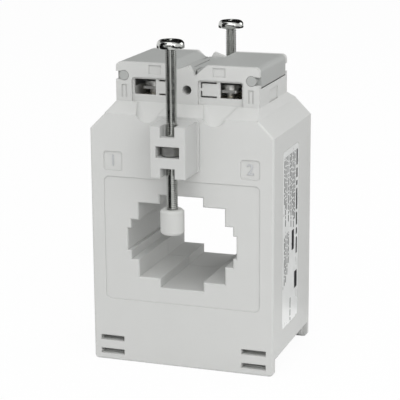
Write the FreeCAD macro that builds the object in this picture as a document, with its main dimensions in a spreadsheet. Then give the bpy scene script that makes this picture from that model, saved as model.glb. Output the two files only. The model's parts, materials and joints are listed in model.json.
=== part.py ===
"""Window-type current transformer with two busbar clamps and hinged terminal lids.

Frame: millimetres, +Z up, origin on the base plane below the middle of the housing.
The front, where the busbar enters, faces -Y. The rating label is on the +X side.
"""
import os

import FreeCAD
import Part
import Sketcher

Vector = FreeCAD.Vector

# Driving sizes. Names that end in _z are heights above the base plane.
SIZES = {
    # Housing
    "body_width": 70.0,
    "body_depth": 51.0,
    "body_top_z": 94.6,
    "corner_chamfer": 6.0,
    "side_wall": 2.2,
    "front_wall": 2.6,
    "edge_round": 0.8,
    "base_z": 6.0,
    "flange_thickness": 2.9,
    "flange_corner": 1.5,
    "floor_thickness": 6.6,
    "cover_depth": 5.6,
    "cover_rim_depth": 2.0,
    "cover_rim_wall": 1.2,
    "cover_clearance": 0.15,
    # Stepped primary window, as four overlapping rectangles
    "window_z": 47.7,
    "bar_width": 41.9,
    "bar_height": 8.4,
    "thick_bar_width": 39.3,
    "thick_bar_height": 15.2,
    "twin_bar_width": 33.2,
    "twin_bar_height": 28.3,
    "upright_width": 16.6,
    "upright_height": 35.2,
    "window_edge": 0.4,
    "tunnel_radius": 23.5,
    "tunnel_seam_depth": 31.2,
    "tunnel_seam_gap": 0.2,
    # Marks and recesses on the housing
    "panel_inset": 5.2,
    "panel_height": 46.8,
    "panel_radius": 2.0,
    "panel_recess": 0.3,
    "mark_size": 7.1,
    "mark_inset": 8.8,
    "mark_z": 76.9,
    "mark_radius": 1.0,
    "mark_recess": 0.4,
    "foot_slot_width": 9.3,
    "foot_slot_height": 2.0,
    "foot_slot_inset": 7.4,
    "foot_slot_low_z": 3.4,
    "foot_slot_pitch": 5.3,
    "foot_slot_depth": 4.5,
    "label_width": 21.5,
    "label_height": 67.2,
    "label_y": -2.8,
    "label_z": 47.7,
    "label_corner": 2.0,
    "label_thickness": 0.2,
    "label_recess": 0.25,
    # Terminal block on top of the housing
    "block_inset": 7.7,
    "block_depth": 36.0,
    "block_top_z": 112.3,
    "shoulder_rise": 3.3,
    "end_wall": 2.1,
    "hinge_floor_z": 103.2,
    "chamber_floor_z": 97.6,
    "chamber_inset": 6.6,
    "rib_width": 8.0,
    "rib_top_z": 107.6,
    "lip_width": 1.6,
    "lip_top_z": 104.6,
    "lip_slope": 1.1,
    "bevel_start": 7.6,
    "bevel_end": 4.0,
    "bevel_drop": 2.1,
    "crest_offset": 0.8,
    "crest_drop": 0.4,
    "notch_offset": 3.0,
    "notch_drop": 4.0,
    "top_round": 1.8,
    "seal_hole_z": 103.1,
    "seal_hole_radius": 1.7,
    "slot_inner": 4.9,
    "slot_inset": 6.8,
    "slot_low_z": 100.5,
    "slot_height": 5.7,
    "slot_corner": 0.5,
    "entry_recess": 1.1,
    "entry_margin": 0.7,
    "entry_corner": 1.2,
    "knockout_gap": 0.6,
    "knockout_edge": 11.0,
    "knockout_wall": 0.8,
    "mullion_width": 1.3,
    "bridge_width": 1.0,
    "scoop_inset": 0.6,
    "scoop_top_round": 1.8,
    "scoop_half": 4.3,
    "scoop_low_z": 91.8,
    "scoop_round": 4.0,
    "tag_offset": 12.2,
    "tag_z": 109.9,
    "tag_width": 4.6,
    "tag_height": 3.2,
    "tag_recess": 0.4,
    "arch_inset": 3.2,
    "arch_low_z": 99.4,
    "arch_width": 2.0,
    "arch_height": 4.7,
    "arch_line": 0.45,
    "arch_recess": 0.3,
    "flank_width": 11.0,
    "flank_height": 4.6,
    "flank_recess": 0.4,
    # Lids
    "pin_inset": 3.05,
    "pin_z": 107.4,
    "pin_radius": 1.8,
    "pin_clearance": 0.1,
    "pin_mouth": 3.0,
    "lid_gap": 0.2,
    "lid_plate": 1.8,
    "lid_skirt": 1.6,
    "skirt_low_z": 104.95,
    "cheek_width": 5.1,
    "cheek_wall": 1.5,
    "lid_inner": 0.3,
    "tongue_reach": 2.6,
    "tongue_length": 6.7,
    "tongue_gap": 0.6,
    "latch_width": 6.0,
    "latch_wall": 1.0,
    "latch_drop": 2.9,
    # Terminals
    "bar_inset": 12.7,
    "terminal_width": 7.2,
    "terminal_thickness": 2.5,
    "terminal_end_gap": 0.4,
    "terminal_screw_inset": 6.4,
    "terminal_thread_radius": 1.95,
    "terminal_clearance": 0.05,
    "terminal_screw_length": 7.0,
    "terminal_head_radius": 3.4,
    "terminal_head_height": 2.2,
    "wire_gap": 2.2,
    "saddle_thickness": 1.0,
    "saddle_clearance": 0.15,
    "tip_clearance": 0.4,
    "tip_room": 1.7,
    "lead_radius": 0.8,
    "lead_clearance": 0.3,
    "lead_end_gap": 0.05,
    # Core and winding
    "seat_gap": 0.2,
    "winding_wall": 1.5,
    "winding_length": 32.6,
    "winding_gap": 0.6,
    "nest_gap": 0.1,
    "core_cap_wall": 0.7,
    "core_cap_joint": 0.2,
    # Busbar clamps
    "clamp_width": 13.2,
    "clamp_reach": 13.65,
    "clamp_low_z": 75.0,
    "clamp_top_z": 93.6,
    "clamp_base_width": 15.0,
    "clamp_base_wall": 0.9,
    "clamp_tongue_width": 6.8,
    "clamp_tongue_height": 13.5,
    "clamp_tongue_depth": 1.3,
    "clamp_tongue_gap": 0.1,
    "clamp_axis_reach": 9.0,
    "clamp_bore_radius": 2.2,
    "channel_width": 5.4,
    "channel_top": 3.9,
    "channel_low": 3.6,
    "nut_window_z": 84.4,
    "nut_width": 7.0,
    "nut_height": 3.2,
    "nut_side_gap": 0.9,
    "nut_end_gap": 0.45,
    "clamp_thread_radius": 2.0,
    "thread_clearance": 0.05,
    "clamp_screw_length": 60.0,
    "clamp_head_radius": 4.85,
    "clamp_head_height": 3.4,
    "clamp_head_edge": 1.5,
    "clamp_head_crown": 2.9,
    "clamp_tip_z": 59.0,
    "tip_chamfer": 0.6,
    "foot_radius": 4.3,
    "foot_height": 9.0,
    "foot_socket_depth": 4.0,
    "foot_edge": 0.7,
    # Cross recesses in the screw heads
    "cross_length": 4.6,
    "cross_width": 1.1,
    "cross_depth": 1.5,
    "terminal_cross_length": 3.6,
    "terminal_cross_width": 0.8,
    "terminal_cross_depth": 1.1,
}

SQRT3 = 3.0 ** 0.5
FRONT, REAR = -1, 1
LEFT, RIGHT = -1, 1


class Size:
    """A length, with the sheet expression that gives it."""

    def __init__(self, value, text):
        self.value = float(value)
        self.text = text

    def __float__(self):
        return self.value

    def __add__(self, other):
        return Size(self.value + float(other), "(%s + %s)" % (self.text, written(other)))

    def __sub__(self, other):
        return Size(self.value - float(other), "(%s - %s)" % (self.text, written(other)))

    def __mul__(self, other):
        return Size(self.value * float(other), "(%s * %s)" % (self.text, written(other)))

    def __truediv__(self, other):
        return Size(self.value / float(other), "(%s / %s)" % (self.text, written(other)))

    def __neg__(self):
        return Size(-self.value, "(0 - %s)" % self.text)

    __radd__ = __add__
    __rmul__ = __mul__


def written(value):
    """The expression text of a size or of a plain number."""
    if isinstance(value, Size):
        return value.text
    return "(%.9g)" % value


class Named:
    """The driving sizes as attributes."""


ZERO = Size(0, "0")


def make_sheet():
    """Fills the sheet of driving sizes and gives each one an alias."""
    sheet = doc.addObject("Spreadsheet::Sheet", "Sizes")
    named = Named()
    for row, (alias, value) in enumerate(SIZES.items(), start=1):
        sheet.set("A%d" % row, alias)
        sheet.set("B%d" % row, str(value))
        sheet.setAlias("B%d" % row, alias)
        setattr(named, alias, Size(value, "Sizes.%s" % alias))
    doc.recompute()
    return named


def bind(thing, prop, size):
    """Sets a property and ties it to the sheet."""
    thing.setExpression(prop, written(size))


# Sketches and features

PLANES = {"front": ("XZ_Plane", -1), "plan": ("XY_Plane", 1), "side": ("YZ_Plane", 1)}


def new_body(name):
    """An empty body whose label names its file."""
    body = doc.addObject("PartDesign::Body", name)
    body.Label = name
    return body


def new_sketch(body, plane, at):
    """A sketch on a plane across Y, Z or X, at a distance along that axis."""
    role, sign = PLANES[plane]
    sketch = body.newObject("Sketcher::SketchObject", body.Name + "_sketch")
    origin = [f for f in body.Origin.OriginFeatures if f.Role == role][0]
    sketch.AttachmentSupport = (origin, "")
    sketch.MapMode = "FlatFace"
    bind(sketch, "AttachmentOffset.Base.z", at * sign)
    return sketch


def tie(sketch, kind, places, size):
    """A dimension of the sketch, tied to the sheet."""
    index = sketch.addConstraint(Sketcher.Constraint(kind, *places, float(size)))
    if isinstance(size, Size):
        sketch.setExpression("Constraints[%d]" % index, size.text)


def tie_point(sketch, geometry, point, x, y):
    """Places a point by its two distances from the sketch's origin."""
    tie(sketch, "DistanceX", (-1, 1, geometry, point), x)
    tie(sketch, "DistanceY", (-1, 1, geometry, point), y)


def draw_circle(sketch, x, y, radius):
    circle = Part.Circle(Vector(float(x), float(y), 0), Vector(0, 0, 1), float(radius))
    index = sketch.addGeometry(circle)
    tie_point(sketch, index, 3, x, y)
    tie(sketch, "Radius", (index,), radius)


def heading(start, end):
    """The direction of a square step, as -1, 0 or 1 along each axis."""
    dx = float(end[0]) - float(start[0])
    dy = float(end[1]) - float(start[1])
    return [(d > 1e-9) - (d < -1e-9) for d in (dx, dy)]


def moved(value, step, distance):
    """A coordinate moved by whole steps of a distance."""
    if step == 0:
        return value
    return value + distance if step > 0 else value - distance


def draw_outline(sketch, corners):
    """A closed outline. A third value at a square corner is its rounding radius."""
    turns = []
    for index, corner in enumerate(corners):
        x, y = corner[:2]
        if len(corner) == 2:
            turns.append(((x, y), (x, y), None))
            continue
        radius = corner[2]
        arrive = heading(corners[index - 1], corner)
        leave = heading(corner, corners[(index + 1) % len(corners)])
        start = [moved(value, -step, radius) for value, step in zip((x, y), arrive)]
        end = [moved(value, step, radius) for value, step in zip((x, y), leave)]
        centre = [moved(value, step, radius) for value, step in zip(start, leave)]
        left = arrive[0] * leave[1] - arrive[1] * leave[0] > 0
        turns.append((start, end, (centre, radius, left)))
    lines = []
    for (_, start, _), (end, _, _) in zip(turns, turns[1:] + turns[:1]):
        line = Part.LineSegment(
            Vector(float(start[0]), float(start[1]), 0), Vector(float(end[0]), float(end[1]), 0)
        )
        lines.append(sketch.addGeometry(line))
    for index, (start, end, turn) in enumerate(turns):
        before, after = lines[index - 1], lines[index]
        tie_point(sketch, after, 1, *end)
        if turn is None:
            sketch.addConstraint(Sketcher.Constraint("Coincident", before, 2, after, 1))
            continue
        tie_point(sketch, before, 2, *start)
        draw_corner(sketch, start, end, turn, before, after)


def draw_corner(sketch, start, end, turn, before, after):
    """The arc that rounds one square corner between two lines."""
    (cx, cy), radius, left = turn
    middle = Vector(float(cx), float(cy), 0)
    first, last = (start, end) if left else (end, start)
    spokes = [Vector(float(p[0]), float(p[1]), 0) - middle for p in (first, last)]
    angles = [Vector(1, 0, 0).getAngle(s) * (1 if s.y >= 0 else -1) for s in spokes]
    if angles[1] < angles[0]:
        angles[1] += 2 * 3.141592653589793
    circle = Part.Circle(middle, Vector(0, 0, 1), float(radius))
    arc = sketch.addGeometry(Part.ArcOfCircle(circle, angles[0], angles[1]))
    near, far = (1, 2) if left else (2, 1)
    sketch.addConstraint(Sketcher.Constraint("Coincident", arc, near, before, 2))
    sketch.addConstraint(Sketcher.Constraint("Coincident", arc, far, after, 1))
    tie(sketch, "Radius", (arc,), radius)


def draw(sketch, shapes):
    """Draws outlines, given as lists of corners, and circles, given as x, y and radius."""
    for shape in shapes:
        if isinstance(shape, tuple):
            draw_circle(sketch, *shape)
        else:
            draw_outline(sketch, shape)


def extrude(kind, body, plane, at, towards, length, shapes):
    """A pad or pocket from a plane, towards +1 or -1 along the axis that crosses it."""
    sketch = new_sketch(body, plane, at)
    draw(sketch, shapes)
    feature = body.newObject("PartDesign::" + kind, body.Name + "_" + kind.lower())
    feature.Profile = sketch
    bind(feature, "Length", length)
    feature.Refine = False
    along_normal = towards * PLANES[plane][1] > 0
    feature.Reversed = along_normal if kind == "Pocket" else not along_normal
    sketch.Visibility = False
    return feature


def pad(body, plane, at, towards, length, *shapes):
    return extrude("Pad", body, plane, at, towards, length, shapes)


def pocket(body, plane, at, towards, length, *shapes):
    return extrude("Pocket", body, plane, at, towards, length, shapes)


def check_pockets(body):
    """Stops the build where a pocket takes nothing away."""
    before = 0.0
    for feature in body.Group:
        if not feature.isDerivedFrom("PartDesign::Feature"):
            continue
        volume = feature.Shape.Volume
        if feature.isDerivedFrom("PartDesign::Pocket") and volume > before - 1e-6:
            raise ValueError("%s cuts nothing" % feature.Name)
        before = volume


def loft(kind, body, plane, sections):
    """A straight-sided loft between outlines on two parallel planes."""
    sketches = []
    for at, shape in sections:
        sketch = new_sketch(body, plane, at)
        draw(sketch, [shape])
        sketches.append(sketch)
    feature = body.newObject("PartDesign::%sLoft" % kind, body.Name + "_loft")
    feature.Profile = sketches[0]
    feature.Sections = sketches[1:]
    feature.Ruled = True
    return feature


def revolve(body, plane, at, shapes, axis="V_Axis", lift=None):
    """A solid of revolution about one of its sketch's own axes."""
    sketch = new_sketch(body, plane, at)
    if lift is not None:
        bind(sketch, "AttachmentOffset.Base.y", lift)
    draw(sketch, shapes)
    feature = body.newObject("PartDesign::Revolution", body.Name + "_revolution")
    feature.Profile = sketch
    feature.ReferenceAxis = (sketch, [axis])
    feature.Angle = 360
    return feature


def edges_where(body, wanted):
    """The names of a body's edges whose box passes a test."""
    doc.recompute()
    return ["Edge%d" % (i + 1) for i, e in enumerate(body.Shape.Edges) if wanted(e.BoundBox)]


def dress(kind, body, size, wanted):
    """A fillet or chamfer on the edges that pass a test."""
    names = edges_where(body, wanted)
    base = body.Tip
    feature = body.newObject("PartDesign::" + kind, body.Name + "_" + kind.lower())
    feature.Base = (base, names)
    bind(feature, "Radius" if kind == "Fillet" else "Size", size)
    return feature


def near(value, size):
    return abs(value - float(size)) < 1e-4


def in_order(first, second):
    """Two sizes, the smaller one first."""
    return sorted((first, second), key=float)


# Places and outlines used by more than one piece

def block_half():
    """Half the terminal block's width."""
    return s.body_width / 2 - s.block_inset


def shoulder_top():
    """Where the sloping shoulder meets the terminal block."""
    return s.body_top_z + s.shoulder_rise


def slot_end():
    """The outer end of a wire entry, from the middle."""
    return block_half() - s.slot_inset


def bar_offset():
    """How far a terminal bar lies to the side."""
    return block_half() - s.bar_inset


def pin_offset():
    """How far a lid's hinge pins lie to the side."""
    return block_half() - s.pin_inset


def winding_radius():
    """The winding's outer radius, inside the housing's side walls."""
    return s.body_width / 2 - s.side_wall - s.winding_gap


def rectangle(x0, x1, y0, y1, *radius):
    """Four corners, counter-clockwise, with an optional rounding radius."""
    return [(x0, y0, *radius), (x1, y0, *radius), (x1, y1, *radius), (x0, y1, *radius)]


def centred(x, y, width, height, *radius):
    """A rectangle given by its middle."""
    half_w, half_h = width / 2, height / 2
    return rectangle(x - half_w, x + half_w, y - half_h, y + half_h, *radius)


def housing_outline(inset, low):
    """The housing seen from the front, drawn in by an inset, with its bottom at a height."""
    half = s.body_width / 2 - inset
    top = s.body_top_z - inset
    slope = s.corner_chamfer - inset * (2 - 2 ** 0.5)
    return [
        (-half, low),
        (half, low),
        (half, top - slope),
        (half - slope, top),
        (-half + slope, top),
        (-half, top - slope),
    ]


def window_outline():
    """The stepped window: four centred rectangles, the widest the lowest."""
    steps = [
        (s.bar_width / 2, s.bar_height / 2),
        (s.thick_bar_width / 2, s.thick_bar_height / 2),
        (s.twin_bar_width / 2, s.twin_bar_height / 2),
        (s.upright_width / 2, s.upright_height / 2),
    ]
    quarter = []
    for index, (half_w, half_h) in enumerate(steps):
        quarter.append((half_w, half_h))
        if index + 1 < len(steps):
            quarter.append((steps[index + 1][0], half_h))
    points = [(w, s.window_z + h) for w, h in quarter]
    points += [(-w, s.window_z + h) for w, h in reversed(quarter)]
    points += [(-w, s.window_z - h) for w, h in quarter]
    points += [(w, s.window_z - h) for w, h in reversed(quarter)]
    return points


def foot_slots(side):
    """The pair of slots that take a plug-in mounting foot at one corner."""
    x = (s.body_width / 2 - s.foot_slot_inset) * side
    low = s.foot_slot_low_z
    return [
        centred(x, low + s.foot_slot_pitch * row, s.foot_slot_width, s.foot_slot_height)
        for row in (0, 1)
    ]


def end_wall_outline(turn):
    """The terminal block's end wall with its notch; turn -1 is the front, 1 the rear."""
    half = block_half()
    top = s.block_top_z
    low = s.body_top_z
    points = [
        (-half, low),
        (half, low),
        (half, top, s.top_round),
        (s.bevel_start, top),
        (s.notch_offset, top - s.notch_drop),
        (s.crest_offset, top - s.crest_drop),
        (-s.bevel_end, top - s.bevel_drop),
        (-s.bevel_start, top),
        (-half, top, s.top_round),
    ]
    if turn == FRONT:
        return points
    return [(-p[0], *p[1:]) for p in reversed(points)]


# Housing pieces

def cut_foot_slots(body, face, inward):
    slots = foot_slots(LEFT) + foot_slots(RIGHT)
    pocket(body, "front", face, inward, s.foot_slot_depth, *slots)


def cut_clamp_seat(body, face, inward):
    """The socket that holds a busbar clamp's tongue."""
    gap = s.clamp_tongue_gap
    middle = (s.clamp_low_z + s.clamp_top_z) / 2
    seat = centred(0.0 * gap, middle, s.clamp_tongue_width + gap * 2, s.clamp_tongue_height + gap * 2)
    pocket(body, "front", face, inward, s.clamp_tongue_depth + gap, seat)


def make_front_shell():
    """Front shell: housing box, front half of the tunnel and the terminal block."""
    body = new_body("front_shell")
    front = -s.body_depth / 2
    seam = s.body_depth / 2 - s.cover_depth
    add_outer_form(body, front, 1, seam - front)
    cut_beyond(body, seam, 1)
    add_block(body)
    hollow_shell(body, front, seam)
    cut_front_marks(body, front)
    cut_foot_slots(body, front, 1)
    cut_clamp_seat(body, front, 1)
    pocket(body, "front", front, 1, s.body_depth, window_outline())
    ease_window(body, front + s.panel_recess)
    cut_block(body)
    cut_chambers(body)
    for turn in (FRONT, REAR):
        cut_entries(body, turn)
    for turn in (FRONT, REAR):
        for side in (LEFT, RIGHT):
            cut_scoop(body, side, turn)
    return body


def ease_window(body, face):
    """A small chamfer round the window's mouth, on one end face."""
    wide = float(s.tunnel_radius)
    dress("Chamfer", body, s.window_edge,
          lambda box: near(box.YMin, face) and near(box.YMax, face)
          and max(-box.XMin, box.XMax) < wide)


def add_outer_form(body, face, inward, depth):
    """The outer form from an end face inwards: flanged end plate, box and shoulder."""
    plate = housing_outline(ZERO, ZERO)
    plate[0] = (*plate[0], s.flange_corner)
    plate[1] = (*plate[1], s.flange_corner)
    pad(body, "front", face, inward, s.flange_thickness, plate)
    inner = face + s.flange_thickness * inward
    box = housing_outline(ZERO, s.base_z)
    pad(body, "front", inner, inward, depth - s.flange_thickness, box)
    top = float(s.body_top_z)
    dress("Fillet", body, s.edge_round,
          lambda box: near(box.YMin, face) and near(box.YMax, face) and box.ZMin < top - 1)
    add_shoulder(body)


def add_shoulder(body):
    """The sloping shoulder between the housing's top and the terminal block."""
    half = s.body_width / 2 - s.corner_chamfer
    deep = s.body_depth / 2
    low, top = s.body_top_z, shoulder_top()
    pad(body, "plan", low, 1, s.shoulder_rise, rectangle(-half, half, -deep, deep))
    for end in (-1, 1):
        across = [(deep * end, low), (deep * end, top), (s.block_depth / 2 * end, top)]
        pocket(body, "side", -half, 1, half * 2, across)
        along = [(half * end, low), (half * end, top), (block_half() * end, top)]
        pocket(body, "front", -deep, 1, deep * 2, along)


def cut_beyond(body, seam, towards):
    """Removes what lies beyond the joint between shell and cover."""
    wide = rectangle(-s.body_width, s.body_width, -s.body_top_z, s.block_top_z * 2)
    pocket(body, "front", seam, towards, s.body_depth, wide)


def add_block(body):
    """The terminal block's base, centre rib, end walls and side lips."""
    half = block_half()
    deep = s.block_depth / 2
    low = s.body_top_z
    base = rectangle(-half, half, -deep, deep)
    pad(body, "plan", low, 1, s.hinge_floor_z - low, base)
    inner = deep - s.end_wall
    rib = rectangle(-s.rib_width / 2, s.rib_width / 2, -deep + s.end_wall / 2, deep - s.end_wall / 2)
    pad(body, "plan", low, 1, s.rib_top_z - low, rib)
    for turn in (FRONT, REAR):
        pad(body, "front", deep * turn, -turn, s.end_wall, end_wall_outline(turn))
    for side in (LEFT, RIGHT):
        lip = [
            (half * side, low),
            (half * side, s.lip_top_z),
            ((half - s.lip_width) * side, s.lip_top_z - s.lip_slope),
            ((half - s.lip_width) * side, low),
        ]
        pad(body, "front", -inner, 1, inner * 2, lip)


def hollow_shell(body, front, seam):
    """The room for the core and winding, round the tunnel."""
    room = housing_outline(s.side_wall, s.base_z + s.floor_thickness)
    tunnel_end = front + s.tunnel_seam_depth
    floor = front + s.front_wall
    pocket(body, "front", seam, -1, seam - tunnel_end, room)
    tube = (ZERO, s.window_z, s.tunnel_radius)
    pocket(body, "front", tunnel_end, -1, tunnel_end - floor, room, tube)


def cut_front_marks(body, front):
    """The recessed panel round the window, the two number squares and the label seat."""
    wide = s.body_width - s.panel_inset * 2
    panel = centred(ZERO, s.window_z, wide, s.panel_height, s.panel_radius)
    offset = s.body_width / 2 - s.mark_inset
    pocket(body, "front", front, 1, s.panel_recess, panel)
    marks = [
        centred(offset * side, s.mark_z, s.mark_size, s.mark_size, s.mark_radius)
        for side in (LEFT, RIGHT)
    ]
    pocket(body, "front", front, 1, s.mark_recess, *marks)
    seat = centred(s.label_y, s.label_z, s.label_width, s.label_height, s.label_corner)
    pocket(body, "side", s.body_width / 2, -1, s.label_recess, seat)


def cut_block(body):
    """Seal hole, hinge pin seats, side recesses and the arch marks on the end walls."""
    deep = s.block_depth / 2
    hole = (ZERO, s.seal_hole_z, s.seal_hole_radius)
    pocket(body, "front", -deep, 1, s.block_depth, hole)
    radius = s.pin_radius + s.pin_clearance
    flank = centred(ZERO, (s.body_top_z + s.lip_top_z) / 2 + s.flank_recess,
                    s.flank_width, s.flank_height)
    seats, mouths, marks, tags = [], [], [], []
    for side in (LEFT, RIGHT):
        x = pin_offset() * side
        outer = (block_half() + s.lip_width) * side
        seats.append((x, s.pin_z, radius))
        mouth = s.pin_mouth / 2
        mouths.append(rectangle(*in_order(x, outer), s.pin_z - mouth, s.pin_z + mouth))
        marks.append(arch_mark(side))
        tags.append(centred(s.tag_offset * side, s.tag_z, s.tag_width, s.tag_height))
        pocket(body, "side", block_half() * side, -side, s.flank_recess, flank)
    for shapes in (seats, mouths):
        pocket(body, "front", -deep, 1, s.block_depth, *shapes)
    for turn in (FRONT, REAR):
        pocket(body, "front", deep * turn, -turn, s.arch_recess, *marks)
        pocket(body, "front", deep * turn, -turn, s.tag_recess, *tags)


def arch_mark(side):
    """An inverted U, as the band between two upright outlines."""
    x = (block_half() - s.arch_inset) * side
    line = s.arch_line
    half = s.arch_width / 2
    low, top = s.arch_low_z, s.arch_low_z + s.arch_height
    return [
        (x - half, low),
        (x - half + line, low),
        (x - half + line, top - line),
        (x + half - line, top - line),
        (x + half - line, low),
        (x + half, low),
        (x + half, top),
        (x - half, top),
    ]


def cut_chambers(body):
    """The terminals' chambers, with room below for the screws and holes for the leads."""
    inner = s.block_depth / 2 - s.end_wall
    floor = s.chamber_floor_z
    chambers, leads, tips = [], [], []
    for side in (LEFT, RIGHT):
        outer = (block_half() - s.chamber_inset) * side
        near_rib, far = in_order(s.rib_width / 2 * side, outer)
        chambers.append(rectangle(near_rib, far, -inner, inner))
        x = bar_offset() * side
        leads.append((x, ZERO, s.lead_radius + s.lead_clearance))
        for turn in (FRONT, REAR):
            y = terminal_screw_y() * turn
            tips.append((x, y, s.terminal_thread_radius + s.tip_clearance))
    pocket(body, "plan", s.hinge_floor_z, -1, s.hinge_floor_z - floor, *chambers)
    pocket(body, "plan", floor, -1, floor - s.body_top_z + s.side_wall, *leads)
    room = s.terminal_screw_length + s.tip_room - s.wire_gap - s.terminal_thickness
    pocket(body, "plan", floor, -1, room, *tips)


def terminal_screw_y():
    """How far a terminal screw stands from the middle of the block."""
    return s.block_depth / 2 - s.terminal_screw_inset


def cut_entries(body, turn):
    """The wire entries of one end: recess, open slot and knock-out, on both sides."""
    face = s.block_depth / 2 * turn
    low, top = s.slot_low_z, s.slot_low_z + s.slot_height
    margin = s.entry_margin
    recesses, slots, mullions, knockouts = [], [], [], []
    for side in (LEFT, RIGHT):
        left, right = in_order((s.slot_inner - margin) * side, (slot_end() + margin) * side)
        recesses.append([
            (left, shoulder_top()),
            (right, shoulder_top()),
            (right, top + margin, s.entry_corner),
            (left, top + margin, s.entry_corner),
        ])
        ends = in_order(s.slot_inner * side, slot_end() * side)
        slots.append(rectangle(*ends, low, top, s.slot_corner))
        post = in_order(s.knockout_edge * side, (s.knockout_edge + s.mullion_width) * side)
        mullions.append(rectangle(*post, low - s.knockout_gap, top + s.knockout_gap))
        knockouts.append(knockout_outline(side))
    plane = face - s.entry_recess * turn
    through = s.end_wall - s.entry_recess
    pocket(body, "front", face, -turn, s.entry_recess, *recesses)
    pocket(body, "front", plane, -turn, through, *slots)
    pad(body, "front", plane, -turn, through, *mullions)
    pad(body, "front", plane, -turn, s.knockout_wall, *knockouts)


def knockout_outline(side):
    """The break-out panel, joined to the post and bridged to the slot's inner end."""
    gap = s.knockout_gap
    low, top = s.slot_low_z + gap, s.slot_low_z + s.slot_height - gap
    near_rib, far = s.slot_inner + gap, s.knockout_edge
    half = s.bridge_width / 2
    z = (low + top) / 2
    root = near_rib - gap - s.entry_margin / 2
    points = [
        (near_rib, low),
        (far, low),
        (far, top),
        (near_rib, top),
        (near_rib, z + half),
        (root, z + half),
        (root, z - half),
        (near_rib, z - half),
    ]
    return [(px * side, pz) for px, pz in points]


def cut_scoop(body, side, turn):
    """A funnel that leads the wire up from the housing's face to its entry."""
    high = s.slot_low_z
    inset = s.scoop_inset
    left, right = in_order((s.slot_inner + inset) * side, (slot_end() - inset) * side)
    upper = [
        (left, shoulder_top(), s.scoop_top_round),
        (right, shoulder_top(), s.scoop_top_round),
        (right, high),
        (left, high),
    ]
    middle = (left + right) / 2
    lower = [
        (middle - s.scoop_half, s.scoop_low_z, s.scoop_round),
        (middle + s.scoop_half, s.scoop_low_z, s.scoop_round),
        (middle + s.scoop_half, high),
        (middle - s.scoop_half, high),
    ]
    near_plane = (s.block_depth / 2 - s.entry_recess) * turn
    far_plane = s.body_depth / 2 * turn
    loft("Subtractive", body, "front", [(near_plane, upper), (far_plane, lower)])


def make_rear_cover():
    """Rear cover: back plate with locating rim, rear half of the tunnel and rear flange."""
    body = new_body("rear_cover")
    rear = s.body_depth / 2
    seam = rear - s.cover_depth
    add_outer_form(body, rear, -1, s.cover_depth)
    cut_beyond(body, seam, -1)
    inset = s.side_wall + s.cover_clearance
    rim_floor = s.base_z + s.floor_thickness + s.cover_clearance
    rim_wall = s.cover_rim_wall
    room = housing_outline(inset + rim_wall, rim_floor + rim_wall)
    tube = (ZERO, s.window_z, s.tunnel_radius)
    pocket(body, "front", seam, 1, s.cover_depth - s.front_wall, room, tube)
    rim = housing_outline(inset, rim_floor)
    pad(body, "front", seam, -1, s.cover_rim_depth, rim, room)
    collar = s.body_depth - s.tunnel_seam_depth - s.tunnel_seam_gap - s.cover_depth
    pad(body, "front", seam, -1, collar, tube)
    cut_foot_slots(body, rear, -1)
    cut_clamp_seat(body, rear, -1)
    pocket(body, "front", rear, -1, s.body_depth, window_outline())
    ease_window(body, rear)
    for side in (LEFT, RIGHT):
        cut_scoop(body, side, REAR)
    return body


def make_label():
    """The rating label, let into the housing's side."""
    body = new_body("rating_label")
    gap = s.label_recess - s.label_thickness
    outline = centred(s.label_y, s.label_z, s.label_width - gap * 2, s.label_height - gap * 2,
                      s.label_corner)
    floor = s.body_width / 2 - s.label_recess
    pad(body, "side", floor, 1, s.label_thickness, outline)
    return body


# Lids

def turn_round(body):
    """Turns a finished body half a turn about the vertical axis."""
    body.Placement = FreeCAD.Placement(Vector(0, 0, 0), FreeCAD.Rotation(Vector(0, 0, 1), 180))


def make_lid(name, turned):
    """A terminal lid: plate, skirt, hinge cheeks with pins, tongue and latch."""
    body = new_body(name)
    half = block_half()
    reach = s.block_depth / 2 - s.end_wall - s.lid_gap
    top, plate = s.block_top_z, s.lid_plate
    low = top - s.bevel_drop
    section = [
        (s.lid_inner, low - plate),
        (s.bevel_end + plate / 4, low - plate),
        (s.bevel_start + plate / 4, top - plate),
        (half - s.lid_skirt, top - plate),
        (half - s.lid_skirt, s.skirt_low_z),
        (half, s.skirt_low_z),
        (half, top, s.top_round),
        (s.bevel_start, top),
        (s.bevel_end, low),
        (s.lid_inner, low),
    ]
    pad(body, "front", -reach, 1, reach * 2, section)
    cheek = [
        (half - s.cheek_width, s.skirt_low_z + s.lid_skirt),
        (pin_offset(), s.skirt_low_z),
        (half, s.skirt_low_z),
        (half, top - s.top_round),
        (half - s.cheek_width, top - plate / 2),
    ]
    for turn in (FRONT, REAR):
        pad(body, "front", reach * turn, -turn, s.cheek_wall, cheek)
        pin = (pin_offset(), s.pin_z, s.pin_radius)
        pad(body, "front", (reach - s.cheek_wall / 2) * turn, turn,
            s.end_wall + s.lid_gap + s.cheek_wall / 2, pin)
    tongue = rectangle(-s.tongue_reach, s.lid_inner + plate / 2, reach - s.tongue_length, reach)
    pad(body, "plan", low - plate, 1, plate, tongue)
    corner = s.tongue_length + s.tongue_gap / 2
    cleared = rectangle(-plate, s.tongue_reach + s.tongue_gap, -reach - plate, -reach + corner)
    pocket(body, "plan", low, -1, plate, cleared)
    inner = s.rib_width / 2 + s.tongue_gap
    latch = rectangle(inner, inner + s.latch_wall, -s.latch_width / 2, s.latch_width / 2)
    pad(body, "plan", low - plate - s.latch_drop, 1, s.latch_drop + plate / 2, latch)
    if turned:
        turn_round(body)
    return body


# Busbar clamps

def clamp_y():
    """The clamp screw's axis, in front of the housing."""
    return -(s.body_depth / 2 + s.clamp_axis_reach)


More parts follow.
